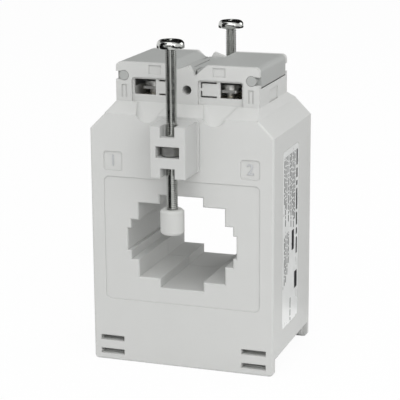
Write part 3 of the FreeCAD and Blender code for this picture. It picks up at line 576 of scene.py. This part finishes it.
def select_vertices(piece, wanted):
    """Selects vertices by place, and leaves the piece in edit mode."""
    bpy.ops.object.mode_set(mode="EDIT")
    bpy.ops.mesh.select_mode(type="VERT")
    bpy.ops.mesh.select_all(action="DESELECT")
    bpy.ops.object.mode_set(mode="OBJECT")
    for vertex in piece.data.vertices:
        vertex.select = wanted(vertex.co)
    bpy.ops.object.mode_set(mode="EDIT")


def settle(piece, name):
    """Puts a piece's place into its mesh and names it."""
    only(piece)
    bpy.ops.object.transform_apply(location=True, rotation=True, scale=True)
    piece.name = name
    return piece


def weld(piece, tool, operation):
    """Joins or cuts one solid with another and removes the tool."""
    only(piece)
    change = piece.modifiers.new("change", "BOOLEAN")
    change.operation = operation
    change.object = tool
    change.solver = "EXACT"
    bpy.ops.object.modifier_apply(modifier="change")
    bpy.data.objects.remove(tool)


print("five hand tools are ready")

# %% Turn the thread
THREAD_PITCH = 0.7 * MM
TOOTH_DEPTH = THREAD_PITCH * 0.45
CREST_HALF = THREAD_PITCH * 0.2
TOOTH_CUTS = 5
STEPS_PER_TURN = 20
SPARE_TURNS = 4
TURN_MERGE = THREAD_PITCH * 0.01
END_MERGE = THREAD_PITCH * 0.005
# Bisect's own threshold of a tenth of a millimetre would leave these cuts open
CUT_THRESHOLD = THREAD_PITCH * 0.0001


def thread_tooth(radius, height):
    """An upright edge, one pitch tall, whose middle is pulled out to the thread's crest."""
    root = radius - TOOTH_DEPTH
    bpy.ops.mesh.primitive_plane_add(
        size=THREAD_PITCH, location=(root - THREAD_PITCH / 2, 0, height)
    )
    tooth = bpy.context.object
    only(tooth)
    bpy.ops.object.mode_set(mode="EDIT")
    bpy.ops.mesh.select_all(action="SELECT")
    bpy.ops.transform.rotate(
        value=math.pi / 2, orient_axis="X", center_override=tuple(tooth.location)
    )
    bpy.ops.object.mode_set(mode="OBJECT")
    settle(tooth, "tooth")
    select_vertices(tooth, lambda place: place.x < root - THREAD_PITCH / 4)
    bpy.ops.mesh.delete(type="VERT")
    bpy.ops.mesh.select_all(action="SELECT")
    bpy.ops.mesh.subdivide(number_cuts=TOOTH_CUTS)
    bpy.ops.object.mode_set(mode="OBJECT")
    select_vertices(tooth, lambda place: abs(place.z - height) < CREST_HALF)
    bpy.ops.transform.translate(value=(TOOTH_DEPTH, 0, 0))
    bpy.ops.object.mode_set(mode="OBJECT")
    return tooth


def thread_rod(radius, low, top):
    """A threaded rod on the Z axis, cut flat at both ends."""
    rod = thread_tooth(radius, low - THREAD_PITCH)
    sweep = rod.modifiers.new("sweep", "SCREW")
    sweep.axis = "Z"
    sweep.screw_offset = THREAD_PITCH
    sweep.iterations = int((top - low) / THREAD_PITCH) + SPARE_TURNS
    sweep.steps = STEPS_PER_TURN
    sweep.render_steps = STEPS_PER_TURN
    sweep.use_merge_vertices = True
    sweep.merge_threshold = TURN_MERGE
    bpy.ops.object.modifier_apply(modifier="sweep")
    bpy.ops.object.mode_set(mode="EDIT")
    for height, keep_below in ((low, False), (top, True)):
        bpy.ops.mesh.select_all(action="SELECT")
        bpy.ops.mesh.bisect(
            plane_co=(0, 0, height), plane_no=(0, 0, 1), use_fill=True,
            clear_outer=keep_below, clear_inner=not keep_below, threshold=CUT_THRESHOLD,
        )
    bpy.ops.mesh.select_all(action="SELECT")
    bpy.ops.mesh.remove_doubles(threshold=END_MERGE)
    bpy.ops.mesh.normals_make_consistent(inside=False)
    bpy.ops.object.mode_set(mode="OBJECT")
    return rod


print("thread pitch %.1f mm, tooth %.2f mm deep" % (THREAD_PITCH / MM, TOOTH_DEPTH / MM))

# %% Shape the head
BLADE_PROUD = 0.1
BLADE_TIP = 0.55
HEAD_SIDES = 64
RIM_SEGMENTS = 6
UNDERSIDE_EDGE = 0.04
UNDERSIDE_SEGMENTS = 2


def cross_cutter(length, width, depth, top):
    """Two tapered blades that cross, as a screwdriver's tip, and stand proud of the head."""
    blades = []
    for across, along in ((length, width), (width, length)):
        bpy.ops.mesh.primitive_cube_add(
            size=1, location=(0, 0, top - depth / 2 + depth * BLADE_PROUD)
        )
        blade = bpy.context.object
        blade.scale = (across, along, depth * (1 + 2 * BLADE_PROUD))
        settle(blade, "blade")
        select_vertices(blade, lambda place: place.z < top - depth / 2)
        bpy.ops.transform.resize(value=(BLADE_TIP, BLADE_TIP, 1), center_override=(0, 0, 0))
        bpy.ops.object.mode_set(mode="OBJECT")
        blades.append(blade)
    weld(blades[0], blades[1], "UNION")
    return blades[0]


def round_edge(piece, wanted, offset, segments):
    """Bevels the edges between the wanted vertices."""
    select_vertices(piece, wanted)
    bpy.ops.mesh.bevel(offset=offset, segments=segments, profile=0.5, affect="EDGES")
    bpy.ops.object.mode_set(mode="OBJECT")


def pan_head(seat, radius, height, rim, cross):
    """A pan head on the Z axis from seat up, with a rounded rim and a cross recess."""
    bpy.ops.mesh.primitive_cylinder_add(
        vertices=HEAD_SIDES, radius=radius, depth=height, location=(0, 0, seat + height / 2)
    )
    head = settle(bpy.context.object, "head")
    round_edge(head, lambda place: place.z > seat + height / 2, rim, RIM_SEGMENTS)
    round_edge(head, lambda place: place.z < seat + height / 4,
               radius * UNDERSIDE_EDGE, UNDERSIDE_SEGMENTS)
    weld(head, cross_cutter(*cross, seat + height), "DIFFERENCE")
    return head


print("heads have", HEAD_SIDES, "sides")

# %% Make the clamp screws
HEAD_OVERLAP = 0.4 * MM
SMOOTH_ANGLE = math.radians(35)
CLAMP_THREAD_RADIUS = 2.0 * MM
CLAMP_HEAD = {
    "radius": 4.85 * MM,
    "height": 2.9 * MM,
    "rim": 1.7 * MM,
    "cross": (5.2 * MM, 1.2 * MM, 1.8 * MM),
}
# How far below its solid's top each head is seated: in the picture the front one stands higher
CLAMP_SEAT_DROP = {"front": 1.7 * MM, "rear": 3.4 * MM}


def make_screw(name, node, carrier, seat_drop, thread_radius, head_sizes, material):
    """A screw over its solid's place, in line with its carrier, that rides on its own body."""
    low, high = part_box(node)
    seat = high[2] - seat_drop
    rod = thread_rod(thread_radius, low[2], seat + HEAD_OVERLAP)
    head = pan_head(seat, **head_sizes)
    screw = join_all([head, rod])
    guide = middle(carrier)
    screw.location = (guide.x, guide.y, 0)
    settle(screw, name)
    bpy.ops.object.shade_smooth_by_angle(angle=SMOOTH_ANGLE)
    coat(screw, material)
    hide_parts(node)
    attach(screw, node)
    print(name, len(screw.data.polygons), "faces")


for end, seat_drop in CLAMP_SEAT_DROP.items():
    make_screw(
        end + "_threaded_clamp_screw", end + "_clamp_screw", end + "_clamp_nut",
        seat_drop, CLAMP_THREAD_RADIUS, CLAMP_HEAD, bright_zinc,
    )

# %% Make the terminal screws
TERMINAL_THREAD_RADIUS = 1.95 * MM
TERMINAL_HEAD = {
    "radius": 3.4 * MM,
    "height": 2.2 * MM,
    "rim": 0.8 * MM,
    "cross": (3.8 * MM, 0.9 * MM, 1.3 * MM),
}

for terminal in ("front_left", "front_right", "rear_left", "rear_right"):
    make_screw(
        terminal + "_threaded_screw", terminal + "_terminal_screw",
        terminal + "_terminal_saddle", TERMINAL_HEAD["height"],
        TERMINAL_THREAD_RADIUS, TERMINAL_HEAD, dull_zinc_painted_light,
    )

# %% [markdown]
# ## Print on the label
# The rating label carries rows of small print and two plain dark fields. From a step away
# print is a line of dark bars, so each row becomes ink bars of uneven length with small gaps.
# A bar is a plane a hundredth of a millimetre above the film, stretched to its size and pulled
# out to a low block.

# %% Lay the ink
FILM_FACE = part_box("rating_label")[1][0]
INK_LIFT = 0.01 * MM
INK_DEPTH = 0.02 * MM
# Lengths of the bars in a line, and the gap between them, in heights of the line
BAR_LENGTHS = (3.1, 1.2, 2.4, 4.0, 0.9, 1.8, 3.4, 1.5)
BAR_GAP = 0.6
BAR_HEIGHT = 0.8


def ink_bar(name, y, z, length, height):
    """A bar of ink on the label, long side upright; all four in millimetres."""
    bpy.ops.mesh.primitive_plane_add(
        size=1, location=(FILM_FACE + INK_LIFT, y * MM, z * MM), rotation=(0, math.pi / 2, 0)
    )
    bar = bpy.context.object
    bar.scale = (length * MM, height * MM, 1)
    settle(bar, name)
    bpy.ops.object.mode_set(mode="EDIT")
    bpy.ops.mesh.select_all(action="SELECT")
    bpy.ops.mesh.extrude_region_move(TRANSFORM_OT_translate={"value": (INK_DEPTH, 0, 0)})
    bpy.ops.mesh.select_all(action="SELECT")
    bpy.ops.mesh.normals_make_consistent(inside=False)
    bpy.ops.object.mode_set(mode="OBJECT")
    return bar


def ink_line(y, z, length, height):
    """A line of print: bars of uneven length with small gaps, end to end."""
    start, stop = z - length / 2, z + length / 2
    line = []
    while start < stop:
        bar_length = min(BAR_LENGTHS[len(line) % len(BAR_LENGTHS)] * height, stop - start)
        line.append(
            ink_bar("ink_word", y, start + bar_length / 2, bar_length, height * BAR_HEIGHT)
        )
        start += bar_length + height * BAR_GAP
    return line


LINES = [
    # y, z, length and height of each line of print, in millimetres
    (5.4, 59.0, 40.0, 2.0),
    (2.6, 66.0, 26.0, 0.8), (1.1, 64.5, 29.0, 0.8), (-0.4, 67.0, 24.0, 0.8),
    (-2.4, 65.0, 28.0, 0.8), (-3.9, 68.0, 22.0, 0.8), (-5.9, 66.5, 25.0, 0.8),
    (-8.2, 69.0, 20.0, 0.8), (-9.8, 66.0, 26.0, 0.8), (-11.4, 70.0, 17.0, 0.8),
    (-5.6, 44.0, 12.0, 0.8), (-7.4, 42.0, 16.0, 0.8), (-9.2, 40.5, 18.0, 0.8),
    (-11.0, 40.0, 18.5, 0.8), (-2.6, 17.6, 13.0, 1.0),
]
FIELDS = [(0.4, 45.4, 7.6, 3.0), (4.6, 29.0, 6.5, 3.6)]
bars = [bar for line in LINES for bar in ink_line(*line)]
bars += [ink_bar("ink_field", *field) for field in FIELDS]
label_print = settle(join_all(bars), "label_print")
coat(label_print, label_ink)
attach(label_print, "housing")
print("label print:", len(LINES), "lines in", len(bars), "bars")

# %% [markdown]
# ## Moulded numbers
# A small square on each side of the front tells the two ends of the busbar apart. A plain
# number stands in each, raised a little from the square's floor. A text object gives the
# outline, and it is made a mesh before it gets its place, so that its pattern can't slide.

# %% Raise the numbers
FRONT_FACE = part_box("front_shell")[0][1]
NUMBER_HEIGHT = 5.6 * MM
NUMBER_HALF_DEPTH = 0.14 * MM
NUMBER_EDGE = 0.05 * MM
SQUARE_DEPTH = 0.4 * MM
# The number's middle stands this far before the square's floor, and its back is sunk in
NUMBER_STEP = 0.1 * MM
SQUARE_X, SQUARE_Z = 26.2 * MM, 76.9 * MM


def raised_number(word, x, z):
    """A number that stands on the floor of a square in the front wall."""
    bpy.ops.object.text_add(location=(0, 0, 0))
    text = bpy.context.object
    text.data.body = word
    text.data.align_x = "CENTER"
    text.data.align_y = "CENTER"
    text.data.size = NUMBER_HEIGHT
    text.data.extrude = NUMBER_HALF_DEPTH
    text.data.bevel_depth = NUMBER_EDGE
    bpy.ops.object.convert(target="MESH")
    number = bpy.context.object
    number.rotation_euler = (math.pi / 2, 0, 0)
    number.location = (x, FRONT_FACE + SQUARE_DEPTH - NUMBER_STEP, z)
    settle(number, "number_" + word)
    coat(number, number_grey)
    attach(number, "housing")
    print("number", word, "at x %.1f mm" % (x / MM))


raised_number("1", -SQUARE_X, SQUARE_Z)
raised_number("2", SQUARE_X, SQUARE_Z)

# %% [markdown]
# ## Blind foot slots
# In the picture all the slots at the feet are dark, the lower ones too, although the foot plate
# there is thin. So each lower slot has a small pocket behind it. It starts as a block whose
# outer face is inset to the slot's outline and then pushed in.

# %% Close the lower foot slots
POCKET_SIZE = (11.7 * MM, 2.4 * MM, 4.6 * MM)
POCKET_X, POCKET_Y, POCKET_Z = 27.6 * MM, 21.4 * MM, 3.7 * MM
POCKET_WALL = 1.2 * MM
POCKET_DEPTH = 1.6 * MM
SLOT_Z = 3.4 * MM
SLOT_HEIGHT_SHARE = 0.9


def slot_pocket(name, x, end):
    """A pocket behind one lower slot; end is -1 at the front and 1 at the rear."""
    bpy.ops.mesh.primitive_cube_add(size=1, location=(x, end * POCKET_Y, POCKET_Z))
    block = bpy.context.object
    block.scale = POCKET_SIZE
    settle(block, name)
    bpy.ops.object.mode_set(mode="EDIT")
    bpy.ops.mesh.select_mode(type="FACE")
    bpy.ops.mesh.select_all(action="DESELECT")
    bpy.ops.object.mode_set(mode="OBJECT")
    for face in block.data.polygons:
        face.select = face.normal.y * end > 0.5
    bpy.ops.object.mode_set(mode="EDIT")
    bpy.ops.mesh.inset(thickness=POCKET_WALL)
    bpy.ops.transform.resize(value=(1, 1, SLOT_HEIGHT_SHARE), center_override=(x, 0, SLOT_Z))
    bpy.ops.mesh.extrude_region_move(
        TRANSFORM_OT_translate={"value": (0, -end * POCKET_DEPTH, 0)}
    )
    bpy.ops.object.mode_set(mode="OBJECT")
    coat(block, housing_grey)
    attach(block, "housing")
    print(name, len(block.data.polygons), "faces")


for hand, x in (("left", -POCKET_X), ("right", POCKET_X)):
    slot_pocket("front_%s_slot_pocket" % hand, x, -1)
    slot_pocket("rear_%s_slot_pocket" % hand, x, 1)
